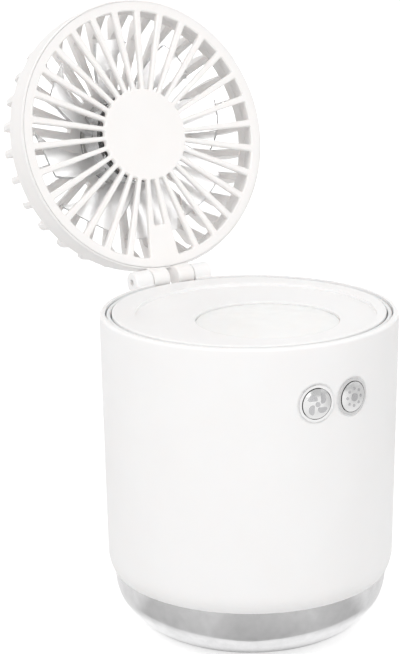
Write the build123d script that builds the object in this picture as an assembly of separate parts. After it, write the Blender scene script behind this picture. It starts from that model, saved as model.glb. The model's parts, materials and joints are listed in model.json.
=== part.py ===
from build123d import *
from math import acos, cos, hypot, radians, sin, sqrt
import os

# Portable camping fan: a round lantern body that stands on a rubber disc, with a fan head that folds
# on a hinge at the rear of its rim. +Z is up, the front faces -Y, and the origin is on the body's
# axis, on the surface that the fan stands on. Millimetres.

# ---------------------------------------------------------------- clearances
FIT_GAP = 0.15         # seated parts of one body
SLIDE_GAP = 0.3        # curved faces of different bodies
PIN_GAP = 0.05         # hinge pin in its lug, motor shaft in its bearings
THREAD_GAP = 0.05      # screw in its hole
SAME = 0.001           # heights that count as equal
WALL = 2.0             # moulded wall of the body

# ---------------------------------------------------------------- base
PAD_PROUD = 0.8        # rubber disc below the bowl
PAD_INSET = 0.8        # inside the flat of the bowl's underside
BOWL_INSET = 0.7       # bowl's side inside the shell's lower edge
BOWL_ROUND = 21.0      # big round of the bowl's lower edge
BOWL_H = 23.1
BOWL_WALL = 1.6
BOWL_SHOULDER_W = 2.0  # step in the bowl's neck that carries the chassis
COVER_R = 23.6
COVER_T = 3.0
COVER_LIP_W = 2.2      # cover's rim, which holds the bowl's floor from below
COVER_LIP_T = 0.8
BOSS_CIRCLE_R = 18.0   # bottom screws
BOSS_R = 3.6
SCREW_R = 1.4
SCREW_HEAD_R = 2.7
SCREW_HEAD_H = 1.4
SCREW_SINK = 0.4       # bottom screw heads above the cover's underside
SCREW_END_GAP = 0.5    # hole beyond a screw's tip
RECESS_SPAN = 1.1      # length of the cross recess, times the head's radius
RECESS_WIDTH = 0.28    # its width, times the head's radius
SMALL_SCREW_R = 1.0    # boards, lamp and motor
SMALL_HEAD_R = 1.9
SMALL_HEAD_H = 1.2
BOTTOM_SCREW_L = 9.0
BOTTOM_SCREWS = 3

# ---------------------------------------------------------------- outer shell
SHELL_H = 99.9         # lower edge to rim
RIM_R = 56.0
SHELL_DRAFT = 1.3      # the side narrows by this from rim to waist
TUCK_H = 6.8           # height of the curve under the waist
TUCK_ROUND = 13.7
RIM_ROUND = 1.0
RIM_WALL = 2.15
LEDGE_DEPTH = 4.0      # rim down to the ledge that carries the top plate
LEDGE_W = 4.4
LEDGE_T = 2.2
LEDGE_FLAT_W = 2.5     # flat underside that the plate's hooks grip
STEP_RISE = 1.0        # inner wall above the neck before it widens
NECK_H = 6.0           # bowl's neck inside the shell

# ---------------------------------------------------------------- top plate, seal, lamp
GROOVE_W = 2.55        # between rim and top plate
SEAL_SIDE_GAP = 0.5
SEAL_BELOW_RIM = 0.6
PLATE_ROUND = 0.5
TRAY_INSET = 6.3       # first step in the plate, inside the plate's edge
TRAY_Y = -4.5
TRAY_DEPTH = 1.2
LENS_HOLE_R = 26.7     # second step, the lamp window
LENS_SUNK = 0.9        # edge of the lens below the tray
LENS_CROWN = 1.1
LENS_FLANGE_W = 2.6
LENS_FLANGE_T = 1.6
HOOK_ANGLE = 14.0      # arc that each snap hook spans
HOOK_T = 1.6
HOOK_GRIP = 1.4        # how far a hook reaches under the ledge
HOOK_TIP_H = 1.6
HOOK_COUNT = 4
REFLECTOR_RIM_W = 4.0
REFLECTOR_SIDE_GAP = 1.0  # to the shell's ledge at the front, which places the lamp
REFLECTOR_IN_R = 24.5  # mouth of the cone
REFLECTOR_SKIRT_R = 21.0  # skirt round the board
REFLECTOR_T = 1.2
REFLECTOR_DEPTH = 8.0
REFLECTOR_FLOOR_R = 19.0
LAMP_SCREW_BITE = 1.6  # thread in the plate
LAMP_SCREWS = 3
LENS_WALL = 1.6
BOARD_T = 1.6
LED_COUNT = 8
LED_CIRCLE_R = 12.0
LED_SIDE = 3.5
LED_H = 0.8

# ---------------------------------------------------------------- buttons
BUTTON_ANGLE = 8.0     # each side of the front
BUTTON_DROP = 21.3     # below the rim
BUTTON_R = 5.5
BUTTON_EDGE_H = 0.2    # cap edge in front of the bezel
BUTTON_CROWN = 0.8
BUTTON_TRAVEL = 1.2
BUTTON_SKIRT_W = 0.8
BUTTON_SKIRT_T = 1.2
STEM_R = 1.8
STEM_ENTRY = 0.5       # stem inside the switch at rest
BEZEL_WALL = 0.6
BEZEL_LIP_W = 0.3
BEZEL_PROUD = 0.7
SPOT_R = 7.4           # flat seat round each bezel
SPOT_DEPTH = 0.5
SEAT_R = 9.4           # boss inside the shell behind the flat
SEAT_T = 3.6
SWITCH_SIDE = 6.2
SWITCH_L = 8.0         # before its foot is cut at the board
SWITCH_GAP = 0.4       # left between cap and switch when pressed
SKIRT_GAP = 0.1        # cap skirt behind the bezel at rest
KEY_BOARD_DEPTH = 7.7  # board behind the switches' faces
KEY_BOARD_W = 50.0
KEY_BOARD_H = 16.0
KEY_POST_X = 21.0
KEY_POST_R = 2.6
KEY_SCREW_L = 4.0

# ---------------------------------------------------------------- inside the body
CHASSIS_T = 2.4
CHASSIS_SUNK = 1.0     # chassis below the neck's top
CABLE_HOLE_R = 4.0
CABLE_HOLE_Y = 36.0
CELL_R = 9.2
CELL_L = 65.0
CELL_Y = -12.0
CRADLE_WALL = 1.4
CRADLE_H = 30.0
CLIP_T = 0.6
CLIP_R = 7.6
CLIP_W = 12.0
MAIN_BOARD_W = 36.0
MAIN_BOARD_L = 35.0
BOARD_REAR_GAP = 1.78  # tongue's end to the shell's inner face
TONGUE_W = 14.0        # board's tongue under the socket
TONGUE_L = 4.0
STANDOFF_H = 6.0
STANDOFF_R = 2.8
STANDOFF_INSET = 4.0
BOARD_SCREW_L = 6.0
SOCKET_W = 9.0
SOCKET_H = 3.3
SOCKET_L = 7.6
SOCKET_WALL = 0.35
SOCKET_TONGUE_T = 0.7
SOCKET_SUNK = 0.6      # socket mouth behind the shell's outer face
SOCKET_TONGUE_W = 6.4
SOCKET_TONGUE_BACK = 0.8
SOCKET_FLOOR = 1.0
COIL_R = 4.5
COIL_H = 4.0
COIL_ROW_IN = 8.0      # first row of parts from the board's front edge
PART_ROW = 9.0
CAN_R = 3.2
CAN_H = 7.5
CHIP_SIDE = 7.0
CHIP_H = 1.2

# ---------------------------------------------------------------- hinge
PIN_BEHIND = 1.9       # pin behind the rim
PIN_UP = 0.7           # pin above the rim
PIN_R = 1.3
PIN_SUNK = 1.5         # pin end inside the lug's end face
KNUCKLE_R = 4.2
KNUCKLE_EDGE = 0.3     # chamfer of the barrels' ends
LUG_IN_X = 9.6
LUG_OUT_X = 17.4
LUG_DROP = 13.0        # the lug's foot below the rim
GAP_HALF_X = 2.0       # gap between the head's two knuckles
NOTCH_DEPTH = 1.7      # rim cut away between the lugs
NOTCH_GAP = 0.5        # round the knuckles
LUG_FOOT_IN = 3.0      # lug's foot inside the rim's radius
LUG_ROOT = 0.6         # lug's root inside the groove wall
ARM_ROOT = 0.6         # arm's root inside the shroud's face
ARM_FOOT_IN = 1.6      # arm's feet inside the shroud's outer face
PIN_INNER_X = 3.2
FACE_BEHIND_PIN = 1.0  # pin in front of the head's face plane
HEAD_TILT = 16.15      # the open head leans back from upright

# ---------------------------------------------------------------- fan head
HEAD_INSET = 1.8       # shroud's outer face inside the body's rim
HEAD_WALL = 2.3
HEAD_ROUND = 0.4
HEAD_LIP = 0.1         # shroud's front edge behind the head's face plane
SHROUD_L = 9.6
SHROUD_EDGE_W = 0.9    # shroud's front edge round the grille
GRILLE_T = 2.2
GRILLE_PROUD = 0.1     # grille's face in front of the face plane
GRILLE_SEAM = 0.12     # between grille and shroud
SKIRT_T = 1.4          # rings of grille and cage, snapped into the shroud
CAGE_SKIRT_L = 3.0
SLAT_COUNT = 30        # also the number of fins
SLOT_BORDER = 3.7      # slots' outer ends inside the grille's edge
HUB_DISC_R = 18.3
SLAT_ROOT_W = 1.7
SLAT_TIP_W = 2.7
SLAT_BEVEL = 0.45
SLOT_CORNER_R = 0.7
PANEL_L = 13.1         # filled outer part of the slot at the hinge
CAGE_BAND_L = 2.0
CAGE_STEP = 0.15       # band inside the shroud's outer face
FIN_INSET = 0.7        # fin roots inside the band's outer face
FIN_THICK = 3.0
FIN_SHOULDER_IN = 1.9  # shoulder inside the shroud's outer face
FIN_FALL = 1.6         # motor seat's back behind the shoulder
FIN_ROUND = 3.0
FIN_ROOT = 1.0         # fin's ends inside the band and the motor seat
FIN_DEPTH = 3.6
FIN_LEAN = 9.3         # fin's inner edge runs this far in from the shoulder
FIN_TAPER = 15.0       # degrees that the fin's sides lean
SEAT_MARGIN = 3.7      # motor seat beyond the impeller's hub
SEAT_DISC_H = 26.0
SEAT_DISC_T = 2.4
SEAT_RIM_W = 1.2
SEAT_RIM_H = 1.4
CAP_T = 1.0
CAP_CROWN = 1.6

# ---------------------------------------------------------------- impeller and motor
BLADE_COUNT = 8
BLADE_TIP_IN = 9.0     # tips inside the slots' outer ends
BLADE_T = 1.3
BLADE_ROOT_CHORD = 11.0
BLADE_TIP_CHORD = 23.0
BLADE_ROOT_PITCH = 48.0
BLADE_TIP_PITCH = 28.0
BLADE_CAMBER = 0.07    # arc height over chord
BLADE_SWEEP = 24.0     # degrees that the tip lies clockwise of the root, seen from the front
BLADE_PHASE = 19.0     # degrees that the first blade stands clockwise of +X at rest
BLADE_ROOT_UP = 11.0   # middle of the root in front of the motor seat's back
BLADE_TIP_UP = 13.0
BLADE_ROOT_IN = 1.0    # blade starts inside the hub's wall
BLADE_TRIM = 1.4       # beyond the tips, trimmed round
HUB_WALL = 1.4
HUB_FACE_H = 5.6       # hub face behind the face plane
HUB_REAR_GAP = 1.6     # hub to motor seat
HUB_ROUND = 1.6
ROTOR_RING_T = 1.1
MAGNET_T = 1.1
ROTOR_L = 11.0
MAGNET_GAP = 0.5
STATOR_L = 6.0
STATOR_TEETH = 9
TOOTH_W = 2.6
SHOE_T = 1.0
SHOE_ANGLE = 30.0
YOKE_T = 2.2
COIL_T = 0.9           # winding round each tooth
COIL_CLEAR = 0.25      # winding to yoke and shoe
HUB_BOSS_R = 3.0
HUB_BOSS_L = 4.2
ROTOR_SUNK = 2.6       # rotor ring behind the hub's face
TUBE_R = 4.0
TUBE_WALL = 1.2
TUBE_FLANGE_R = 11.0
TUBE_FLANGE_T = 1.6
TUBE_FLOOR = 0.6
COLLAR_H = 2.0         # collar under the stator
COLLAR_W = 1.2
TUBE_TOP_GAP = 1.0
SHAFT_END_GAP = 0.3
SHAFT_R = 1.0
BEARING_L = 2.6
BEARING_SUNK = 0.2
MOTOR_BOARD_R = 11.6
MOTOR_SCREW_CIRCLE_R = 8.0
MOTOR_SCREW_L = 3.8
MOTOR_SCREWS = 3

# ---------------------------------------------------------------- worked-out places
Z_BOWL = PAD_PROUD
Z_FOOT = Z_BOWL + BOWL_H
Z_WAIST = Z_FOOT + TUCK_H
Z_RIM = Z_FOOT + SHELL_H
Z_LEDGE = Z_RIM - LEDGE_DEPTH
WAIST_R = RIM_R - SHELL_DRAFT
FOOT_R = WAIST_R - TUCK_ROUND + sqrt(TUCK_ROUND**2 - TUCK_H**2)
BOWL_R = FOOT_R - BOWL_INSET
PAD_R = BOWL_R - BOWL_ROUND - PAD_INSET
GROOVE_OUT_R = RIM_R - RIM_WALL
PLATE_R = GROOVE_OUT_R - GROOVE_W
TRAY_R = PLATE_R - TRAY_INSET
LEDGE_IN_R = PLATE_R - LEDGE_W
NECK_R = FOOT_R - WALL - FIT_GAP
NECK_IN_R = NECK_R - BOWL_WALL
Z_NECK = Z_FOOT + NECK_H
Z_CHASSIS = Z_NECK - CHASSIS_SUNK - CHASSIS_T
Z_DECK = Z_CHASSIS + CHASSIS_T
Z_COVER = Z_BOWL + COVER_T
Z_BOTTOM_HEAD = Z_BOWL + SCREW_SINK
Z_TRAY = Z_RIM - TRAY_DEPTH
Z_LENS_EDGE = Z_TRAY - LENS_SUNK
LENS_R = LENS_HOLE_R - FIT_GAP
LENS_FLANGE_R = LENS_R + LENS_FLANGE_W
Z_REFLECTOR = Z_LEDGE - LENS_FLANGE_T - REFLECTOR_T
Z_LAMP_BOARD = Z_REFLECTOR - REFLECTOR_DEPTH
RIM_IN_R = LENS_FLANGE_R + FIT_GAP
RIM_OUT_R = RIM_IN_R + REFLECTOR_RIM_W
LENS_Y = RIM_OUT_R + REFLECTOR_SIDE_GAP - LEDGE_IN_R
LAMP_SCREW_CIRCLE_R = RIM_IN_R + REFLECTOR_RIM_W / 2
LAMP_SCREW_L = Z_LEDGE - Z_REFLECTOR + LAMP_SCREW_BITE
Z_KEYS = Z_RIM - BUTTON_DROP
CELL_X = CELL_R + FIT_GAP + CRADLE_WALL / 2
Z_MAIN_BOARD = Z_DECK + STANDOFF_H
Z_SOCKET = Z_MAIN_BOARD + BOARD_T
Z_PIN = Z_RIM + PIN_UP
PIN_OUT = RIM_R + PIN_BEHIND
HEAD_R = RIM_R - HEAD_INSET
GRILLE_R = HEAD_R - SHROUD_EDGE_W
SLOT_OUT_R = GRILLE_R - SLOT_BORDER
PANEL_IN_R = SLOT_OUT_R - PANEL_L
HUB_R = HUB_DISC_R
BLADE_ROOT_R = HUB_R - BLADE_ROOT_IN
BLADE_TIP_R = SLOT_OUT_R - BLADE_TIP_IN
BLADE_END_R = BLADE_TIP_R + BLADE_TRIM
SEAT_DISC_R = HUB_R + SEAT_MARGIN
CAP_R = SEAT_DISC_R - SEAT_RIM_W - FIT_GAP
FIN_SHOULDER_R = HEAD_R - FIN_SHOULDER_IN
FIN_SHOULDER_H = SEAT_DISC_H - FIN_FALL
PITCH = 360.0 / SLAT_COUNT


def shell_radius(z):
    """Outer radius of the drafted side at height z."""
    return WAIST_R + (RIM_R - WAIST_R) * (z - Z_WAIST) / (Z_RIM - Z_WAIST)


# Places along a button's own axis, measured out from the body's axis.
KEY_FLAT = shell_radius(Z_KEYS) - SPOT_DEPTH
KEY_BACK = KEY_FLAT - SEAT_T
BEZEL_IN_R = BUTTON_R + SLIDE_GAP
BEZEL_TUBE_R = BEZEL_IN_R + BEZEL_WALL
BEZEL_LIP_R = BEZEL_TUBE_R + BEZEL_LIP_W
BUTTON_EDGE = KEY_FLAT + BEZEL_PROUD + BUTTON_EDGE_H
SKIRT_BACK = KEY_BACK - SKIRT_GAP - BUTTON_SKIRT_T
SWITCH_FACE = SKIRT_BACK - BUTTON_TRAVEL - SWITCH_GAP
KEY_BOARD_Y = KEY_BOARD_DEPTH - SWITCH_FACE

# The main board reaches back to the shell with its tongue.
TONGUE_END = shell_radius(Z_SOCKET) - WALL - BOARD_REAR_GAP
MAIN_BOARD_Y1 = TONGUE_END - TONGUE_L
MAIN_BOARD_Y0 = MAIN_BOARD_Y1 - MAIN_BOARD_L

# Places along the head's own axis, measured forward from the face plane.
GRILLE_FACE = GRILLE_PROUD
GRILLE_BACK = GRILLE_FACE - GRILLE_T
SHROUD_IN_R = HEAD_R - HEAD_WALL
SHROUD_FRONT = -HEAD_LIP
SHROUD_BACK = -SHROUD_L
CAGE_SKIRT_FRONT = SHROUD_BACK + CAGE_SKIRT_L
BAND_BACK = SHROUD_BACK - CAGE_BAND_L
SEAT_FACE = SEAT_DISC_T - SEAT_DISC_H
HUB_FACE = -HUB_FACE_H
HUB_BACK = SEAT_FACE + HUB_REAR_GAP
HUB_IN_R = HUB_R - HUB_WALL
ROTOR_FRONT = HUB_FACE - ROTOR_SUNK
MAGNET_OUT_R = HUB_IN_R - PIN_GAP - ROTOR_RING_T
MAGNET_IN_R = MAGNET_OUT_R - MAGNET_T
FLANGE_FACE = SEAT_FACE + TUBE_FLANGE_T
MOTOR_BOARD_FACE = FLANGE_FACE + BOARD_T
STATOR_BACK = MOTOR_BOARD_FACE + COLLAR_H
STATOR_R = MAGNET_IN_R - MAGNET_GAP
BOSS_END = HUB_FACE - HUB_WALL - HUB_BOSS_L
TUBE_TOP = BOSS_END - TUBE_TOP_GAP
TUBE_IN_R = TUBE_R - TUBE_WALL
TUBE_BOTTOM = SEAT_FACE + TUBE_FLOOR


def head_point(y, z):
    """World place of a point of the head's middle plane: y up the head, z out of the grille."""
    tilt = radians(HEAD_TILT)
    return (
        0,
        PIN_OUT + (y + PIN_OUT) * sin(tilt) - (z - FACE_BEHIND_PIN) * cos(tilt),
        Z_PIN + (y + PIN_OUT) * cos(tilt) + (z - FACE_BEHIND_PIN) * sin(tilt),
    )


# The head's own frame: x along the hinge, y up the head, z out of the front of the grille. Its centre
# lies PIN_OUT above the pin, so that the closed head is concentric with the body.
HEAD_FRAME = Plane(
    origin=head_point(0, 0),
    x_dir=(1, 0, 0),
    z_dir=(0, -cos(radians(HEAD_TILT)), sin(radians(HEAD_TILT))),
)


def button_axis(side):
    """Frame at the body's axis whose z points out through a button; side is -1 or 1."""
    turn = radians(side * BUTTON_ANGLE)
    return Plane(origin=(0, 0, Z_KEYS), x_dir=(cos(turn), sin(turn), 0), z_dir=(sin(turn), -cos(turn), 0))


# ---------------------------------------------------------------- helpers
def ring(outer, inner, low, high):
    """Plain ring or disc between two heights."""
    body = Pos(0, 0, (low + high) / 2) * Cylinder(outer, high - low)
    if inner > 0:
        body -= Pos(0, 0, (low + high) / 2) * Cylinder(inner, high - low + 1)
    return body


def box(x0, x1, y0, y1, z0, z1):
    """Box between six planes."""
    return Pos((x0 + x1) / 2, (y0 + y1) / 2, (z0 + z1) / 2) * Box(x1 - x0, y1 - y0, z1 - z0)


def line(a, b):
    """Edge between two points of the XZ plane."""
    return Line((a[0], 0, a[1]), (b[0], 0, b[1]))


def arc_about(a, b, centre):
    """Edge in the XZ plane from a to b, the short way round a centre."""
    radius = hypot(a[0] - centre[0], a[1] - centre[1])
    out = (a[0] + b[0] - 2 * centre[0], a[1] + b[1] - 2 * centre[1])
    reach = radius / hypot(out[0], out[1])
    mid = (centre[0] + out[0] * reach, centre[1] + out[1] * reach)
    return ThreePointArc((a[0], 0, a[1]), (mid[0], 0, mid[1]), (b[0], 0, b[1]))


def crown(radius, edge, height):
    """Edge in the XZ plane of a shallow dome, from its edge to the axis."""
    sphere = (radius**2 + height**2) / (2 * height)
    return arc_about((radius, edge), (0, edge + height), (0, edge + height - sphere))


def polygon(points):
    """Edges of a closed outline in the XZ plane."""
    return [line(a, b) for a, b in zip(points, points[1:] + points[:1])]


def top_edges(part, z):
    """Edges of a turned part at a height, the widest first."""
    return part.edges().filter_by_position(Axis.Z, z - SAME, z + SAME).sort_by(Edge.length)[::-1]


def turned(edges):
    """Solid turned about Z from the edges of a closed outline in the XZ plane."""
    return revolve(make_face(edges), Axis.Z)


def around(count, radius, part, start=0.0):
    """Copies of a part about the Z axis, moved out to a radius."""
    return [Rot(0, 0, start + 360.0 * k / count) * Pos(radius, 0, 0) * part for k in range(count)]


def group(parts):
    """Separate solids of one node."""
    return Compound(children=[solid for part in parts for solid in part.solids()])


def screw(head_r, head_h, shank_r, length):
    """Screw that points up, its head's flat outer face at zero, with a cross recess."""
    body = ring(head_r, 0, 0, head_h) + ring(shank_r, 0, head_h, head_h + length)
    recess = Box(head_r * RECESS_SPAN, head_r * RECESS_WIDTH, head_h)
    return body - recess - Rot(0, 0, 90) * recess


def small_screw(length):
    return screw(SMALL_HEAD_R, SMALL_HEAD_H, SMALL_SCREW_R, length)


def tangent_point(centre, radius, place, side):
    """Where a line from a place touches a circle; side 1 or -1 picks one of the two."""
    away = (place[0] - centre[0], place[1] - centre[1])
    length = hypot(away[0], away[1])
    turn = side * acos(radius / length)
    return (
        centre[0] + radius * (away[0] * cos(turn) - away[1] * sin(turn)) / length,
        centre[1] + radius * (away[0] * sin(turn) + away[1] * cos(turn)) / length,
    )


def barrel_and_web(centre, web, x0, x1):
    """Hinge knuckle between two places along X: a round barrel and a web given by its outline in YZ."""
    side = make_face(Polyline(*web, web[0])) + Pos(centre[0], centre[1]) * Circle(KNUCKLE_R)
    knuckle = extrude(Plane.YZ.offset(x0) * side, x1 - x0)
    ends = knuckle.faces().filter_by(Axis.X)
    return chamfer(ends.edges(), KNUCKLE_EDGE)


def both_sides(part):
    """A part and its mirror image across the hinge's middle."""
    return part + mirror(part, Plane.YZ)


# ---------------------------------------------------------------- base
def make_base_bowl():
    """Round bowl with a neck for the shell, a shoulder for the chassis and a stepped opening below."""
    r0 = BOWL_R - BOWL_ROUND
    z_floor = Z_BOWL + BOWL_WALL
    z_round = Z_BOWL + BOWL_ROUND
    wall_in = BOWL_R - BOWL_WALL
    shoulder = NECK_IN_R - BOWL_SHOULDER_W
    opening = COVER_R + FIT_GAP
    lip = opening - COVER_LIP_W
    z_lip = Z_BOWL + COVER_LIP_T
    return turned([
        line((opening, Z_BOWL), (r0, Z_BOWL)),
        arc_about((r0, Z_BOWL), (BOWL_R, z_round), (r0, z_round)),
        line((BOWL_R, z_round), (BOWL_R, Z_FOOT)),
        line((BOWL_R, Z_FOOT), (NECK_R, Z_FOOT)),
        line((NECK_R, Z_FOOT), (NECK_R, Z_NECK)),
        line((NECK_R, Z_NECK), (NECK_IN_R, Z_NECK)),
        line((NECK_IN_R, Z_NECK), (NECK_IN_R, Z_CHASSIS)),
        line((NECK_IN_R, Z_CHASSIS), (shoulder, Z_CHASSIS)),
        line((shoulder, Z_CHASSIS), (shoulder, Z_CHASSIS - BOWL_WALL)),
        line((shoulder, Z_CHASSIS - BOWL_WALL), (wall_in, z_round)),
        arc_about((wall_in, z_round), (r0, z_floor), (r0, z_round)),
        line((r0, z_floor), (lip, z_floor)),
        line((lip, z_floor), (lip, z_lip)),
        line((lip, z_lip), (opening, z_lip)),
        line((opening, z_lip), (opening, Z_BOWL)),
    ])


def make_base_pad():
    return ring(PAD_R, 0, 0, Z_BOWL)


def make_bottom_cover():
    """Disc whose thin rim holds the bowl's floor up against the chassis."""
    cover = ring(COVER_R, 0, Z_BOWL, Z_BOWL + COVER_LIP_T)
    cover += ring(COVER_R - COVER_LIP_W, 0, Z_BOWL, Z_COVER)
    hole = ring(SCREW_R + FIT_GAP, 0, 0, Z_COVER + 1)
    hole += ring(SCREW_HEAD_R + FIT_GAP, 0, 0, Z_BOTTOM_HEAD + SCREW_HEAD_H)
    return cover - around(BOTTOM_SCREWS, BOSS_CIRCLE_R, hole, 90)


def make_bottom_screws():
    one = Pos(0, 0, Z_BOTTOM_HEAD) * screw(SCREW_HEAD_R, SCREW_HEAD_H, SCREW_R, BOTTOM_SCREW_L)
    return group(around(BOTTOM_SCREWS, BOSS_CIRCLE_R, one, 90))


# ---------------------------------------------------------------- outer shell
def shell_wall():
    """Tapered tube with the curve under its waist, the seal groove and the ledge for the top plate."""
    z_round = Z_RIM - RIM_ROUND
    rim_edge = shell_radius(z_round)
    z_under = Z_LEDGE - LEDGE_T
    flat_end = LEDGE_IN_R + LEDGE_FLAT_W
    slant_end = shell_radius(z_under) - WALL
    bore = NECK_R + FIT_GAP
    z_step = Z_NECK + STEP_RISE
    widening = shell_radius(z_step) - WALL - bore
    wide = (shell_radius(z_step + widening) - WALL, z_step + widening)
    return turned([
        arc_about((FOOT_R, Z_FOOT), (WAIST_R, Z_WAIST), (WAIST_R - TUCK_ROUND, Z_WAIST)),
        line((WAIST_R, Z_WAIST), (rim_edge, z_round)),
        arc_about((rim_edge, z_round), (rim_edge - RIM_ROUND, Z_RIM), (rim_edge - RIM_ROUND, z_round)),
        line((rim_edge - RIM_ROUND, Z_RIM), (GROOVE_OUT_R, Z_RIM)),
        line((GROOVE_OUT_R, Z_RIM), (GROOVE_OUT_R, Z_LEDGE)),
        line((GROOVE_OUT_R, Z_LEDGE), (LEDGE_IN_R, Z_LEDGE)),
        line((LEDGE_IN_R, Z_LEDGE), (LEDGE_IN_R, z_under)),
        line((LEDGE_IN_R, z_under), (flat_end, z_under)),
        line((flat_end, z_under), (slant_end, z_under - slant_end + flat_end)),
        line((slant_end, z_under - slant_end + flat_end), wide),
        line(wide, (bore, z_step)),
        line((bore, z_step), (bore, Z_FOOT)),
        line((bore, Z_FOOT), (FOOT_R, Z_FOOT)),
    ])


def hinge_lugs():
    """Two lugs behind the rim: the pin's barrel, a web down the side wall and a front flush with the rim."""
    pin = (PIN_OUT, Z_PIN)
    foot = (RIM_R - LUG_FOOT_IN, Z_RIM - LUG_DROP)
    front = PIN_OUT - KNUCKLE_R
    inside = front - LUG_FOOT_IN
    web = [
        foot, tangent_point(pin, KNUCKLE_R, foot, 1), (front, Z_PIN),
        (front, Z_RIM), (inside, Z_RIM), (inside, foot[1]),
    ]
    lug = barrel_and_web(pin, web, LUG_IN_X, LUG_OUT_X)
    return both_sides(lug - ring(GROOVE_OUT_R + LUG_ROOT, 0, foot[1] - 1, Z_PIN + KNUCKLE_R))


def pin_bore(x0, x1):
    """Cylinder along X round the hinge pins' axis, with the pin's clearance."""
    bore = Pos((x0 + x1) / 2, PIN_OUT, Z_PIN) * Rot(0, 90, 0) * Cylinder(PIN_R + PIN_GAP, x1 - x0)
    return both_sides(bore)


def knuckle_notch():
    """Room in the rim for the head's knuckles."""
    sweep = Pos(0, PIN_OUT, Z_PIN) * Rot(0, 90, 0) * Cylinder(KNUCKLE_R + NOTCH_GAP, 2 * LUG_IN_X)
    step = box(-LUG_IN_X, LUG_IN_X, PLATE_R, RIM_R + 1, Z_RIM - NOTCH_DEPTH, Z_RIM + 1)
    return sweep + step


def socket_frame():
    """Frame at the middle of the charge socket's mouth, z into the body."""
    z = Z_SOCKET + SOCKET_H / 2
    return Plane(origin=(0, shell_radius(z) - SOCKET_SUNK, z), x_dir=(1, 0, 0), z_dir=(0, -1, 0))


def make_outer_shell():
    shell = shell_wall() + hinge_lugs()
    shell -= knuckle_notch()
    shell -= pin_bore(LUG_IN_X, LUG_OUT_X)
    core = ring(shell_radius(Z_KEYS) - WALL / 2, 0, Z_KEYS - SEAT_R - WALL, Z_LEDGE)
    for side in (-1, 1):
        shell += (button_axis(side) * ring(SEAT_R, 0, KEY_BACK, KEY_FLAT)) & core
        post = Pos(side * KEY_POST_X, (KEY_BOARD_Y - RIM_R) / 2, Z_KEYS) * Rot(90, 0, 0)
        shell += (post * Cylinder(KEY_POST_R, RIM_R + KEY_BOARD_Y)) & core
        pilot = Pos(side * KEY_POST_X, KEY_BOARD_Y, Z_KEYS) * Rot(90, 0, 0)
        shell -= pilot * ring(SMALL_SCREW_R + THREAD_GAP, 0, 0, KEY_SCREW_L - BOARD_T + SCREW_END_GAP)
    for side in (-1, 1):
        shell -= button_axis(side) * ring(SPOT_R, 0, KEY_FLAT, KEY_FLAT + SEAT_T)
        shell -= button_axis(side) * ring(BEZEL_TUBE_R + FIT_GAP, 0, KEY_BACK, KEY_FLAT + SEAT_T)
    port = SlotOverall(SOCKET_W + 2 * FIT_GAP, SOCKET_H + 2 * FIT_GAP)
    return shell - socket_frame() * extrude(port, SOCKET_L / 2, both=True)


# ---------------------------------------------------------------- top plate, seal, lamp
def make_seal_bead():
    bead = ring(GROOVE_OUT_R - SEAL_SIDE_GAP, PLATE_R + SEAL_SIDE_GAP, Z_LEDGE, Z_RIM - SEAL_BELOW_RIM)
    return fillet(top_edges(bead, Z_RIM - SEAL_BELOW_RIM), SEAL_SIDE_GAP)


def snap_hook():
    """Hook under the plate that grips the shell's ledge, on the +X side."""
    out = LEDGE_IN_R - FIT_GAP
    z_grip = Z_LEDGE - LEDGE_T - FIT_GAP
    leg = polygon([
        (out - HOOK_T, Z_LEDGE), (out, Z_LEDGE), (out, z_grip), (out + HOOK_GRIP, z_grip),
        (out, z_grip - HOOK_TIP_H), (out - HOOK_T, z_grip - HOOK_TIP_H),
    ])
    return Rot(0, 0, -HOOK_ANGLE / 2) * revolve(make_face(leg), Axis.Z, HOOK_ANGLE)


def make_top_plate():
    """Disc with a shallow round tray and the lamp's window in it, both set towards the front."""
    plate = ring(PLATE_R, 0, Z_LEDGE, Z_RIM)
    plate = fillet(top_edges(plate, Z_RIM), PLATE_ROUND)
    plate -= Pos(0, TRAY_Y, 0) * ring(TRAY_R, 0, Z_TRAY, Z_RIM + 1)
    plate -= Pos(0, LENS_Y, 0) * ring(LENS_HOLE_R, 0, Z_LEDGE - 1, Z_RIM)
    pilot = ring(SMALL_SCREW_R + THREAD_GAP, 0, Z_LEDGE - 1, Z_LEDGE + LAMP_SCREW_BITE + THREAD_GAP)
    plate -= [Pos(0, LENS_Y, 0) * hole for hole in around(LAMP_SCREWS, LAMP_SCREW_CIRCLE_R, pilot, 90)]
    return plate + around(HOOK_COUNT, 0, snap_hook(), 45)


def make_lamp_lens():
    """Domed window with a flange below the plate."""
    z_flange = Z_LEDGE - LENS_FLANGE_T
    inner = LENS_R - LENS_WALL
    z_inner = Z_LENS_EDGE - LENS_WALL
    lens = turned([
        line((LENS_FLANGE_R, z_flange), (LENS_FLANGE_R, Z_LEDGE)),
        line((LENS_FLANGE_R, Z_LEDGE), (LENS_R, Z_LEDGE)),
        line((LENS_R, Z_LEDGE), (LENS_R, Z_LENS_EDGE)),
        crown(LENS_R, Z_LENS_EDGE, LENS_CROWN),
        line((0, Z_LENS_EDGE + LENS_CROWN), (0, z_inner + LENS_CROWN)),
        crown(inner, z_inner, LENS_CROWN),
        line((inner, z_inner), (inner, z_flange)),
        line((inner, z_flange), (LENS_FLANGE_R, z_flange)),
    ])
    return Pos(0, LENS_Y, 0) * lens


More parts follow.
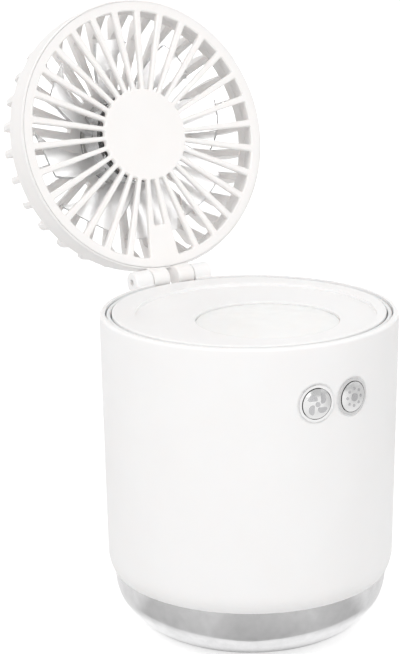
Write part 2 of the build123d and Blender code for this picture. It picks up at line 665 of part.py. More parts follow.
def make_lamp_reflector():
    """Cone under the lens: its rim is screwed to the plate, its skirt holds the lamp's board."""
    z_seat = Z_REFLECTOR + REFLECTOR_T
    z_floor = Z_LAMP_BOARD + REFLECTOR_T
    skirt = REFLECTOR_SKIRT_R + REFLECTOR_T
    z_skirt = Z_LAMP_BOARD - BOARD_T
    cup = turned(polygon([
        (REFLECTOR_IN_R, z_seat), (RIM_IN_R, z_seat), (RIM_IN_R, Z_LEDGE), (RIM_OUT_R, Z_LEDGE),
        (RIM_OUT_R, Z_REFLECTOR), (REFLECTOR_IN_R + REFLECTOR_T, Z_REFLECTOR),
        (REFLECTOR_FLOOR_R + REFLECTOR_T, z_floor), (skirt, z_floor), (skirt, z_skirt),
        (REFLECTOR_SKIRT_R, z_skirt), (REFLECTOR_SKIRT_R, Z_LAMP_BOARD),
        (REFLECTOR_FLOOR_R, Z_LAMP_BOARD), (REFLECTOR_FLOOR_R, z_floor),
    ]))
    hole = ring(SMALL_SCREW_R + FIT_GAP, 0, Z_REFLECTOR - 1, Z_LEDGE + 1)
    return Pos(0, LENS_Y, 0) * (cup - around(LAMP_SCREWS, LAMP_SCREW_CIRCLE_R, hole, 90))


def make_lamp_screws():
    place = Pos(0, LENS_Y, Z_REFLECTOR - SMALL_HEAD_H)
    screws = around(LAMP_SCREWS, LAMP_SCREW_CIRCLE_R, small_screw(LAMP_SCREW_L), 90)
    return group([place * one for one in screws])


def make_lamp_board():
    return Pos(0, LENS_Y, 0) * ring(REFLECTOR_SKIRT_R - FIT_GAP, 0, Z_LAMP_BOARD - BOARD_T, Z_LAMP_BOARD)


def make_lamp_leds():
    one = Pos(0, LENS_Y, Z_LAMP_BOARD + LED_H / 2)
    return group([one * part for part in around(LED_COUNT, LED_CIRCLE_R, Box(LED_SIDE, LED_SIDE, LED_H))])


# ---------------------------------------------------------------- buttons
def make_button(side):
    """Domed cap, its skirt behind the bezel and a stem that reaches into the switch."""
    skirt = BEZEL_IN_R + BUTTON_SKIRT_W
    z_skirt = SKIRT_BACK + BUTTON_SKIRT_T
    cap = turned([
        line((0, SKIRT_BACK), (skirt, SKIRT_BACK)),
        line((skirt, SKIRT_BACK), (skirt, z_skirt)),
        line((skirt, z_skirt), (BUTTON_R, z_skirt)),
        line((BUTTON_R, z_skirt), (BUTTON_R, BUTTON_EDGE)),
        crown(BUTTON_R, BUTTON_EDGE, BUTTON_CROWN),
        line((0, BUTTON_EDGE + BUTTON_CROWN), (0, SKIRT_BACK)),
    ])
    return button_axis(side) * (cap + ring(STEM_R, 0, SWITCH_FACE - STEM_ENTRY, SKIRT_BACK))


def make_button_bezels():
    one = ring(BEZEL_TUBE_R, BEZEL_IN_R, KEY_BACK, KEY_FLAT)
    one += ring(BEZEL_LIP_R, BEZEL_IN_R, KEY_FLAT, KEY_FLAT + BEZEL_PROUD)
    return group([button_axis(side) * one for side in (-1, 1)])


def make_key_switches():
    """Square switches whose feet are cut to stand flat on their board."""
    one = Pos(0, 0, SWITCH_FACE - SWITCH_L / 2) * Box(SWITCH_SIDE, SWITCH_SIDE, SWITCH_L)
    depth = STEM_ENTRY + BUTTON_TRAVEL + SLIDE_GAP
    one -= ring(STEM_R + SLIDE_GAP, 0, SWITCH_FACE - depth, SWITCH_FACE + 1)
    front = box(-KEY_BOARD_W, KEY_BOARD_W, -RIM_R, KEY_BOARD_Y, 0, Z_RIM)
    return group([(button_axis(side) * one) & front for side in (-1, 1)])


def make_key_board():
    board = box(
        -KEY_BOARD_W / 2, KEY_BOARD_W / 2, KEY_BOARD_Y, KEY_BOARD_Y + BOARD_T,
        Z_KEYS - KEY_BOARD_H / 2, Z_KEYS + KEY_BOARD_H / 2,
    )
    hole = Rot(90, 0, 0) * ring(SMALL_SCREW_R + FIT_GAP, 0, -BOARD_T - 1, 1)
    return board - [Pos(side * KEY_POST_X, KEY_BOARD_Y, Z_KEYS) * hole for side in (-1, 1)]


def make_key_screws():
    y = KEY_BOARD_Y + BOARD_T + SMALL_HEAD_H
    one = Rot(90, 0, 0) * small_screw(KEY_SCREW_L)
    return group([Pos(side * KEY_POST_X, y, Z_KEYS) * one for side in (-1, 1)])


# ---------------------------------------------------------------- inside the body
def standoff_places():
    """Places of the main board's four screws."""
    x = MAIN_BOARD_W / 2 - STANDOFF_INSET
    rows = (MAIN_BOARD_Y0 + STANDOFF_INSET, MAIN_BOARD_Y1 - STANDOFF_INSET)
    return [(side * x, y) for side in (-1, 1) for y in rows]


def make_chassis():
    """Deck in the bowl's neck with screw bosses below, the cells' cradle and the board's standoffs."""
    chassis = ring(NECK_IN_R - FIT_GAP, 0, Z_CHASSIS, Z_DECK)
    chassis += around(BOTTOM_SCREWS, BOSS_CIRCLE_R, ring(BOSS_R, 0, Z_COVER, Z_CHASSIS), 90)
    chassis += [
        Pos(side * CELL_X, CELL_Y, 0) * ring(CELL_R + FIT_GAP + CRADLE_WALL, 0, Z_DECK, Z_DECK + CRADLE_H)
        for side in (-1, 1)
    ]
    chassis -= [
        Pos(side * CELL_X, CELL_Y, 0) * ring(CELL_R + FIT_GAP, 0, Z_DECK, Z_DECK + CRADLE_H + 1)
        for side in (-1, 1)
    ]
    chassis += [Pos(x, y, 0) * ring(STANDOFF_R, 0, Z_DECK, Z_MAIN_BOARD) for x, y in standoff_places()]
    pilot = ring(SMALL_SCREW_R + THREAD_GAP, 0, Z_SOCKET - BOARD_SCREW_L - SCREW_END_GAP, Z_SOCKET)
    chassis -= [Pos(x, y, 0) * pilot for x, y in standoff_places()]
    deep = Z_BOTTOM_HEAD + SCREW_HEAD_H + BOTTOM_SCREW_L + SCREW_END_GAP
    chassis -= around(BOTTOM_SCREWS, BOSS_CIRCLE_R, ring(SCREW_R + THREAD_GAP, 0, 0, deep), 90)
    return chassis - Pos(0, CABLE_HOLE_Y, 0) * ring(CABLE_HOLE_R, 0, Z_CHASSIS - 1, Z_DECK + 1)


def make_battery_cells():
    z = Z_DECK + CLIP_T
    return group([Pos(side * CELL_X, CELL_Y, 0) * ring(CELL_R, 0, z, z + CELL_L) for side in (-1, 1)])


def make_battery_clips():
    """Contact discs below the cells and one strip across their tops."""
    discs = [Pos(side * CELL_X, CELL_Y, 0) * ring(CLIP_R, 0, Z_DECK, Z_DECK + CLIP_T) for side in (-1, 1)]
    z = Z_DECK + CLIP_T + CELL_L
    reach = CELL_X + CLIP_W / 2
    return group(discs + [box(-reach, reach, CELL_Y - CLIP_W / 2, CELL_Y + CLIP_W / 2, z, z + CLIP_T)])


def make_main_board():
    board = box(-MAIN_BOARD_W / 2, MAIN_BOARD_W / 2, MAIN_BOARD_Y0, MAIN_BOARD_Y1, Z_MAIN_BOARD, Z_SOCKET)
    board += box(-TONGUE_W / 2, TONGUE_W / 2, MAIN_BOARD_Y1, TONGUE_END, Z_MAIN_BOARD, Z_SOCKET)
    hole = ring(SMALL_SCREW_R + FIT_GAP, 0, Z_MAIN_BOARD - 1, Z_SOCKET + 1)
    return board - [Pos(x, y, 0) * hole for x, y in standoff_places()]


def make_board_screws():
    turned_over = Rot(180, 0, 0)
    z = Z_SOCKET + SMALL_HEAD_H
    return group([Pos(x, y, z) * turned_over * small_screw(BOARD_SCREW_L) for x, y in standoff_places()])


def make_board_parts():
    """Coil, two capacitors and two chips that stand on the main board."""
    x = MAIN_BOARD_W / 4
    near = MAIN_BOARD_Y0 + COIL_ROW_IN
    middle = near + PART_ROW
    chip = Box(CHIP_SIDE, CHIP_SIDE, CHIP_H)
    return group([
        Pos(-x, near, 0) * ring(COIL_R, 0, Z_SOCKET, Z_SOCKET + COIL_H),
        Pos(x, near, 0) * ring(CAN_R, 0, Z_SOCKET, Z_SOCKET + CAN_H),
        Pos(x, middle, 0) * ring(CAN_R, 0, Z_SOCKET, Z_SOCKET + CAN_H),
        Pos(-x, middle, Z_SOCKET + CHIP_H / 2) * chip,
        Pos(0, middle + CHIP_SIDE, Z_SOCKET + CHIP_H / 2) * chip,
    ])


def make_charge_socket():
    """Flat oval metal sleeve with a contact tongue, open to the rear."""
    sleeve = extrude(SlotOverall(SOCKET_W, SOCKET_H), SOCKET_L)
    mouth = SlotOverall(SOCKET_W - 2 * SOCKET_WALL, SOCKET_H - 2 * SOCKET_WALL)
    sleeve -= extrude(mouth, SOCKET_L - SOCKET_FLOOR)
    half = SOCKET_TONGUE_W / 2
    sleeve += box(-half, half, -SOCKET_TONGUE_T / 2, SOCKET_TONGUE_T / 2, SOCKET_TONGUE_BACK, SOCKET_L)
    return socket_frame() * sleeve


# ---------------------------------------------------------------- fan head
def make_hinge_pins():
    out = LUG_OUT_X - PIN_SUNK
    one = Pos((PIN_INNER_X + out) / 2, PIN_OUT, Z_PIN) * Rot(0, 90, 0) * Cylinder(PIN_R, out - PIN_INNER_X)
    return group([one, mirror(one, Plane.YZ)])


def grille_slot(outer):
    """Cutter for one slot between two slats about +X, with rounded corners and a bevelled front edge."""
    corners = []
    for radius, width in ((HUB_DISC_R, SLAT_ROOT_W), (outer, SLAT_TIP_W)):
        half = radians(PITCH / 2) - width / 2 / radius
        corners.append((radius * cos(half), radius * sin(half)))
    inner, tip = corners
    outline = make_face([
        Line(inner, tip),
        ThreePointArc(tip, (outer, 0), (tip[0], -tip[1])),
        Line((tip[0], -tip[1]), (inner[0], -inner[1])),
        ThreePointArc((inner[0], -inner[1]), (HUB_DISC_R, 0), inner),
    ])
    outline = fillet(outline.vertices(), SLOT_CORNER_R)
    flare = extrude(Pos(0, 0, GRILLE_FACE - SLAT_BEVEL) * outline, SLAT_BEVEL, taper=-45)
    return extrude(Pos(0, 0, GRILLE_BACK) * outline, GRILLE_T) + flare


def make_front_grille():
    """Disc with slots between thirty slats, a plain hub, and a ring behind it that snaps into the shroud."""
    grille = ring(GRILLE_R, 0, GRILLE_BACK, GRILLE_FACE)
    skirt = SHROUD_IN_R - FIT_GAP
    grille += ring(skirt, skirt - SKIRT_T, CAGE_SKIRT_FRONT + FIT_GAP, GRILLE_BACK)
    full = grille_slot(SLOT_OUT_R)
    grille -= [Rot(0, 0, -90 + PITCH * k) * full for k in range(1, SLAT_COUNT)]
    grille -= Rot(0, 0, -90) * grille_slot(PANEL_IN_R)
    return HEAD_FRAME * grille


def head_arms():
    """Two knuckles below the shroud, in the head's frame, rooted in its wall."""
    pin = (-PIN_OUT, FACE_BEHIND_PIN)
    front = (ARM_FOOT_IN - HEAD_R, SHROUD_FRONT)
    back = (ARM_FOOT_IN - HEAD_R, SHROUD_BACK + ARM_ROOT)
    web = [front, tangent_point(pin, KNUCKLE_R, front, 1), tangent_point(pin, KNUCKLE_R, back, -1), back]
    arm = barrel_and_web(pin, web, GAP_HALF_X, LUG_IN_X - SLIDE_GAP)
    arm -= ring(HEAD_R - ARM_ROOT, 0, SHROUD_BACK, KNUCKLE_R)
    bore = Pos((PIN_INNER_X + LUG_IN_X) / 2, pin[0], pin[1]) * Rot(0, 90, 0)
    return both_sides(arm - bore * Cylinder(PIN_R + PIN_GAP, LUG_IN_X - PIN_INNER_X + 2 * FIT_GAP))


def make_shroud():
    """Round wall of the head with a seat for the grille and the two inner knuckles of the hinge."""
    wall = ring(HEAD_R, SHROUD_IN_R, SHROUD_BACK, SHROUD_FRONT)
    wall = fillet(top_edges(wall, SHROUD_FRONT)[0], HEAD_ROUND)
    wall -= ring(GRILLE_R + GRILLE_SEAM, 0, GRILLE_BACK, SHROUD_FRONT + 1)
    return HEAD_FRAME * (wall + head_arms())


def cage_fin():
    """One fin on the +X side: down the cage's side, round its shoulder and in to the motor seat."""
    root = HEAD_R - CAGE_STEP - FIN_INSET
    z_root = BAND_BACK + FIN_ROOT
    shoulder = (FIN_SHOULDER_R, FIN_ROUND - FIN_SHOULDER_H)
    back = (FIN_SHOULDER_R - FIN_ROUND, -FIN_SHOULDER_H)
    inner = SEAT_DISC_R - FIN_ROOT
    corner = (FIN_SHOULDER_R - FIN_LEAN, FIN_DEPTH - FIN_SHOULDER_H)
    outline = make_face([
        line((root, z_root), shoulder),
        arc_about(shoulder, back, (back[0], shoulder[1])),
        line(back, (inner, -SEAT_DISC_H)),
        line((inner, -SEAT_DISC_H), (inner, SEAT_FACE)),
        line((inner, SEAT_FACE), corner),
        line(corner, (root - FIN_DEPTH, z_root)),
        line((root - FIN_DEPTH, z_root), (root, z_root)),
    ])
    half = extrude(outline, FIN_THICK / 2, dir=(0, 1, 0), taper=FIN_TAPER)
    return half + mirror(half, Plane.XZ)


def make_rear_cage():
    """Band behind the shroud, thirty fins and the motor seat with its rim for the cap."""
    cage = ring(HEAD_R - CAGE_STEP, SHROUD_IN_R, BAND_BACK, SHROUD_BACK)
    skirt = SHROUD_IN_R - FIT_GAP
    cage += ring(skirt, skirt - SKIRT_T, BAND_BACK, CAGE_SKIRT_FRONT)
    cage += ring(SHROUD_IN_R + FIT_GAP, skirt - FIT_GAP, BAND_BACK, SHROUD_BACK)
    cage += ring(SEAT_DISC_R, 0, -SEAT_DISC_H, SEAT_FACE)
    cage += ring(SEAT_DISC_R, SEAT_DISC_R - SEAT_RIM_W, -SEAT_DISC_H - SEAT_RIM_H, -SEAT_DISC_H)
    cage += around(SLAT_COUNT, 0, cage_fin())
    hole = ring(SMALL_SCREW_R + FIT_GAP, 0, -SEAT_DISC_H - 1, SEAT_FACE + 1)
    return HEAD_FRAME * (cage - around(MOTOR_SCREWS, MOTOR_SCREW_CIRCLE_R, hole, 90))


def make_motor_cap():
    """Shallow domed cover over the motor screws."""
    z = -SEAT_DISC_H
    edge = z - SEAT_RIM_H
    inner = CAP_R - CAP_T
    top = edge - CAP_CROWN
    sphere = (CAP_R**2 + CAP_CROWN**2) / (2 * CAP_CROWN)
    cap = turned([
        line((CAP_R, z), (CAP_R, edge)),
        arc_about((CAP_R, edge), (0, top), (0, top + sphere)),
        line((0, top), (0, top + CAP_T)),
        arc_about((0, top + CAP_T), (inner, edge + CAP_T), (0, top + CAP_T + sphere)),
        line((inner, edge + CAP_T), (inner, z)),
        line((inner, z), (CAP_R, z)),
    ])
    return HEAD_FRAME * cap


# ---------------------------------------------------------------- motor
def make_motor_tube():
    """Bearing tube with a flange on the motor seat and a collar for the stator."""
    tube = ring(TUBE_FLANGE_R, 0, SEAT_FACE, FLANGE_FACE) + ring(TUBE_R, 0, SEAT_FACE, TUBE_TOP)
    tube += ring(TUBE_R + COLLAR_W, 0, MOTOR_BOARD_FACE, STATOR_BACK)
    tube -= ring(TUBE_IN_R, 0, TUBE_BOTTOM, TUBE_TOP + 1)
    pilot = ring(SMALL_SCREW_R + THREAD_GAP, 0, SEAT_FACE - 1, FLANGE_FACE + 1)
    return HEAD_FRAME * (tube - around(MOTOR_SCREWS, MOTOR_SCREW_CIRCLE_R, pilot, 90))


def make_motor_bearings():
    one = ring(TUBE_IN_R - PIN_GAP, SHAFT_R + PIN_GAP, 0, BEARING_L)
    places = (TUBE_BOTTOM, TUBE_TOP - BEARING_SUNK - BEARING_L)
    return group([HEAD_FRAME * Pos(0, 0, z) * one for z in places])


def make_motor_board():
    board = ring(MOTOR_BOARD_R, TUBE_R + FIT_GAP, FLANGE_FACE, MOTOR_BOARD_FACE)
    hole = ring(SMALL_HEAD_R, 0, FLANGE_FACE - 1, MOTOR_BOARD_FACE + 1)
    return HEAD_FRAME * (board - around(MOTOR_SCREWS, MOTOR_SCREW_CIRCLE_R, hole, 90))


def make_motor_screws():
    one = Pos(0, 0, -SEAT_DISC_H - SMALL_HEAD_H) * small_screw(MOTOR_SCREW_L)
    return group([HEAD_FRAME * part for part in around(MOTOR_SCREWS, MOTOR_SCREW_CIRCLE_R, one, 90)])


def make_motor_stator():
    """Steel core: a yoke on the tube and nine teeth with curved shoes."""
    front = STATOR_BACK + STATOR_L
    core = ring(TUBE_R + FIT_GAP + YOKE_T, 0, STATOR_BACK, front)
    tooth = box(0, STATOR_R - SHOE_T / 2, -TOOTH_W / 2, TOOTH_W / 2, STATOR_BACK, front)
    core += around(STATOR_TEETH, 0, tooth)
    shoe_in = STATOR_R - SHOE_T
    section = polygon([(shoe_in, STATOR_BACK), (STATOR_R, STATOR_BACK), (STATOR_R, front), (shoe_in, front)])
    shoe = Rot(0, 0, -SHOE_ANGLE / 2) * revolve(make_face(section), Axis.Z, SHOE_ANGLE)
    core += around(STATOR_TEETH, 0, shoe)
    return HEAD_FRAME * (core - ring(TUBE_R + FIT_GAP, 0, STATOR_BACK - 1, front + 1))


def make_motor_coils():
    """One winding round each tooth."""
    start = TUBE_R + FIT_GAP + YOKE_T + COIL_CLEAR
    end = STATOR_R - SHOE_T - COIL_CLEAR
    wide = TOOTH_W / 2 + COIL_T
    coil = box(start, end, -wide, wide, STATOR_BACK - COIL_T, STATOR_BACK + STATOR_L + COIL_T)
    coil -= box(start - 1, end + 1, -TOOTH_W / 2, TOOTH_W / 2, STATOR_BACK, STATOR_BACK + STATOR_L)
    return group([HEAD_FRAME * part for part in around(STATOR_TEETH, 0, coil)])


# ---------------------------------------------------------------- impeller
def blade_section(radius):
    """Curved blade section at a radius, its chord pitched and swept with the radius."""
    part = (radius - BLADE_ROOT_R) / (BLADE_TIP_R - BLADE_ROOT_R)
    chord = BLADE_ROOT_CHORD + (BLADE_TIP_CHORD - BLADE_ROOT_CHORD) * part
    pitch = BLADE_ROOT_PITCH + (BLADE_TIP_PITCH - BLADE_ROOT_PITCH) * part
    half = BLADE_T / 2
    rise = BLADE_CAMBER * chord
    section = make_face([
        ThreePointArc((-chord / 2, half), (0, rise + half), (chord / 2, half)),
        Line((chord / 2, half), (chord / 2, -half)),
        ThreePointArc((chord / 2, -half), (0, rise - half), (-chord / 2, -half)),
        Line((-chord / 2, -half), (-chord / 2, half)),
    ])
    height = BLADE_ROOT_UP + (BLADE_TIP_UP - BLADE_ROOT_UP) * part - SEAT_DISC_H
    across = Plane(origin=(radius, 0, height), x_dir=(0, 1, 0), z_dir=(1, 0, 0))
    return Rot(0, 0, -BLADE_SWEEP * part) * across.location * Rot(0, 0, pitch) * section


def make_blade():
    middle = (BLADE_ROOT_R + BLADE_END_R) / 2
    blade = loft([blade_section(BLADE_ROOT_R), blade_section(middle), blade_section(BLADE_END_R)])
    return blade & ring(BLADE_TIP_R, 0, -SEAT_DISC_H, 0)


def make_impeller():
    """Hub cup with a rounded front, a boss for the shaft and eight curved blades."""
    cup = ring(HUB_R, 0, HUB_BACK, HUB_FACE)
    cup = fillet(top_edges(cup, HUB_FACE), HUB_ROUND)
    cup -= ring(HUB_IN_R, 0, HUB_BACK - 1, HUB_FACE - HUB_WALL)
    cup += ring(HUB_BOSS_R, 0, BOSS_END, HUB_FACE - HUB_WALL)
    cup -= ring(SHAFT_R + PIN_GAP, 0, BOSS_END - 1, HUB_FACE - HUB_WALL)
    return HEAD_FRAME * (cup + around(BLADE_COUNT, 0, make_blade(), -BLADE_PHASE))


def make_rotor_ring():
    outer = HUB_IN_R - PIN_GAP
    return HEAD_FRAME * ring(outer, outer - ROTOR_RING_T, ROTOR_FRONT - ROTOR_L, ROTOR_FRONT)


def make_rotor_magnets():
    return HEAD_FRAME * ring(MAGNET_OUT_R, MAGNET_IN_R, ROTOR_FRONT - ROTOR_L, ROTOR_FRONT)


def make_motor_shaft():
    return HEAD_FRAME * ring(SHAFT_R, 0, TUBE_BOTTOM + SHAFT_END_GAP, HUB_FACE - HUB_WALL)


NODES = {
    "base_bowl": make_base_bowl,
    "base_pad": make_base_pad,
    "bottom_cover": make_bottom_cover,
    "bottom_screws": make_bottom_screws,
    "outer_shell": make_outer_shell,
    "seal_bead": make_seal_bead,
    "top_plate": make_top_plate,
    "lamp_lens": make_lamp_lens,
    "lamp_reflector": make_lamp_reflector,
    "lamp_screws": make_lamp_screws,
    "lamp_board": make_lamp_board,
    "lamp_leds": make_lamp_leds,
    "button_fan": lambda: make_button(-1),
    "button_light": lambda: make_button(1),
    "button_bezels": make_button_bezels,
    "key_switches": make_key_switches,
    "key_board": make_key_board,
    "key_screws": make_key_screws,
    "chassis": make_chassis,
    "battery_cells": make_battery_cells,
    "battery_clips": make_battery_clips,
    "main_board": make_main_board,
    "board_parts": make_board_parts,
    "board_screws": make_board_screws,
    "charge_socket": make_charge_socket,
    "hinge_pins": make_hinge_pins,
    "front_grille": make_front_grille,
    "shroud": make_shroud,
    "rear_cage": make_rear_cage,
    "motor_cap": make_motor_cap,
    "motor_tube": make_motor_tube,
    "motor_bearings": make_motor_bearings,
    "motor_board": make_motor_board,
    "motor_screws": make_motor_screws,
    "motor_stator": make_motor_stator,
    "motor_coils": make_motor_coils,
    "impeller": make_impeller,
    "rotor_ring": make_rotor_ring,
    "rotor_magnets": make_rotor_magnets,
    "motor_shaft": make_motor_shaft,
}

os.makedirs("parts", exist_ok=True)
for name, make in NODES.items():
    export_step(make(), f"parts/{name}.step")
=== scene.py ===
import json
from math import cos, hypot, pi, radians, sin, sqrt

import bmesh
import bpy
from mathutils import Matrix, Vector


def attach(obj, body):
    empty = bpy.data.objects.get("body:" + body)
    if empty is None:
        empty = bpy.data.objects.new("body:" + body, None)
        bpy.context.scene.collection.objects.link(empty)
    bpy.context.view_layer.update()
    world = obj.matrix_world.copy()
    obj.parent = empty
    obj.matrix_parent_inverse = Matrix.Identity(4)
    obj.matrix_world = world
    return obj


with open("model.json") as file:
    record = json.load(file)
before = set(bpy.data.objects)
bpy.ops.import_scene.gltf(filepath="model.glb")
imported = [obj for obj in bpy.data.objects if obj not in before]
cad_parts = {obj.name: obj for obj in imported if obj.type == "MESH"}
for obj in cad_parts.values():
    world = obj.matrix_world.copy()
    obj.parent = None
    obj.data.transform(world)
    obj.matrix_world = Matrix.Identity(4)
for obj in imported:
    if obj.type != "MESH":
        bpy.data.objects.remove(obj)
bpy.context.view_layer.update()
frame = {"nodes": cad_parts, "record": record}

# Portable camping fan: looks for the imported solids, the marks on the two buttons, and the studio.
# Metres, in the part's own frame: +Z up, the buttons face -Y, the hinge is at the rear.

NODES = frame["nodes"]
MM = 0.001
CAMERA_AZIMUTH = radians(-33.0)
CAMERA_SIDE = Vector((sin(CAMERA_AZIMUTH), -cos(CAMERA_AZIMUTH), 0))


# ---------------------------------------------------------------- node helpers
class Graph:
    """A node tree, with short ways to add sums, noise and blends."""

    def __init__(self, tree):
        self.tree = tree

    def node(self, kind, **settings):
        node = self.tree.nodes.new(kind)
        for key, value in settings.items():
            setattr(node, key, value)
        return node

    def put(self, value, slot):
        """Links a socket to the slot, or sets the slot to a number or colour."""
        if isinstance(value, bpy.types.NodeSocket):
            self.tree.links.new(value, slot)
        elif slot.type == "RGBA":
            slot.default_value = (*value, 1.0)
        else:
            slot.default_value = value

    def math(self, operation, *values):
        node = self.node("ShaderNodeMath", operation=operation)
        for value, slot in zip(values, node.inputs):
            self.put(value, slot)
        return node.outputs[0]

    def vector(self, operation, *values):
        node = self.node("ShaderNodeVectorMath", operation=operation)
        for value, slot in zip(values, node.inputs):
            self.put(value, slot)
        return node.outputs["Value" if operation in ("LENGTH", "DOT_PRODUCT") else "Vector"]

    def spread(self, value, low, high, start=0.3, end=0.7):
        """A value mapped to a range, and held at its ends."""
        node = self.node("ShaderNodeMapRange")
        for key, number in (("From Min", start), ("From Max", end), ("To Min", low), ("To Max", high)):
            node.inputs[key].default_value = number
        self.put(value, node.inputs["Value"])
        return node.outputs["Result"]

    def blend(self, factor, a, b):
        """Colour between two colours."""
        node = self.node("ShaderNodeMix", data_type="RGBA")
        for value, slot in zip((factor, a, b), (node.inputs["Factor"], node.inputs[6], node.inputs[7])):
            self.put(value, slot)
        return node.outputs[2]

    def mixed(self, factor, a, b):
        """Shader between two shaders."""
        node = self.node("ShaderNodeMixShader")
        for value, slot in zip((factor, a, b), node.inputs):
            self.put(value, slot)
        return node.outputs[0]

    def noise(self, size, detail=2.0, vector=None, rough=0.5):
        """Noise whose blotches are about size metres wide."""
        node = self.node("ShaderNodeTexNoise")
        for key, number in (("Scale", 1.0 / size), ("Detail", detail), ("Roughness", rough)):
            node.inputs[key].default_value = number
        self.put(vector or self.coords, node.inputs["Vector"])
        return node.outputs["Fac"]

    def scaled(self, x=1.0, y=1.0, z=1.0):
        """Object coordinates stretched along each axis."""
        return self.vector("MULTIPLY", self.coords, (x, y, z))


class Surface(Graph):
    """One material's node tree."""

    def __init__(self, name, **plain):
        self.mat = bpy.data.materials.new(name)
        self.mat.use_nodes = True
        super().__init__(self.mat.node_tree)
        self.bsdf = self.tree.nodes["Principled BSDF"]
        for key, value in plain.items():
            self.bsdf.inputs[key.replace("_", " ")].default_value = value
        self.coords = self.node("ShaderNodeTexCoord").outputs["Object"]

    def drive(self, **values):
        for key, value in values.items():
            self.put(value, self.bsdf.inputs[key.replace("_", " ")])

    def bump(self, *layers):
        """Bump from pairs of height and depth in metres."""
        normal = None
        for height, depth in layers:
            node = self.node("ShaderNodeBump")
            node.inputs["Strength"].default_value = 1.0
            node.inputs["Distance"].default_value = depth
            self.put(height, node.inputs["Height"])
            if normal:
                self.put(normal, node.inputs["Normal"])
            normal = node.outputs["Normal"]
        self.put(normal, self.bsdf.inputs["Normal"])


def plastic(name, tone, shade, rough, grain=0.35 * MM, depth=0.004 * MM, **plain):
    """Moulded plastic: a slow drift of colour and gloss, and a fine moulded grain."""
    s = Surface(name, **plain)
    s.drive(
        Base_Color=s.blend(s.spread(s.noise(18 * MM, 3), 0, 1), tone, shade),
        Roughness=s.spread(s.noise(6 * MM, 4), rough - 0.04, rough + 0.05),
    )
    s.bump((s.noise(grain, 3, rough=0.65), depth), (s.noise(5 * MM, 2), depth * 1.5))
    return s.mat


def metal(name, tone, rough, scratch=0.4 * MM, depth=0.002 * MM, drift=0.1, **plain):
    """Plain metal with fine scratches and a little colour drift."""
    s = Surface(name, Metallic=1.0, **plain)
    dull = tuple((1 - drift) * c for c in tone)
    s.drive(
        Base_Color=s.blend(s.spread(s.noise(4 * MM, 4), 0, 1), tone, dull),
        Roughness=s.spread(s.noise(1.5 * MM, 5), 0.8 * rough, 1.3 * rough),
    )
    s.bump((s.noise(scratch, 4, s.scaled(1, 1, 6)), depth))
    return s.mat


def frosted(name, tone, shade, joint, hub_radius):
    """Translucent plastic: frosted blades, and a hub round the joint's axis that is polished clear."""
    s = Surface(name, IOR=1.46)
    offset = s.vector("SUBTRACT", s.coords, tuple(joint["pos_m"]))
    radius = s.vector("LENGTH", s.vector("CROSS_PRODUCT", offset, tuple(joint["axis"])))
    blade = s.spread(radius, 0, 1, hub_radius, hub_radius + 0.4 * MM)
    s.drive(
        Base_Color=s.blend(s.spread(s.noise(18 * MM, 3), 0, 1), tone, shade),
        Transmission_Weight=s.spread(blade, 0.97, 0.8, 0, 1),
        Roughness=s.math("MULTIPLY_ADD", blade, 0.3, s.spread(s.noise(6 * MM, 4), 0.05, 0.1)),
    )
    s.bump((s.noise(5 * MM, 2), 0.004 * MM))
    return s.mat


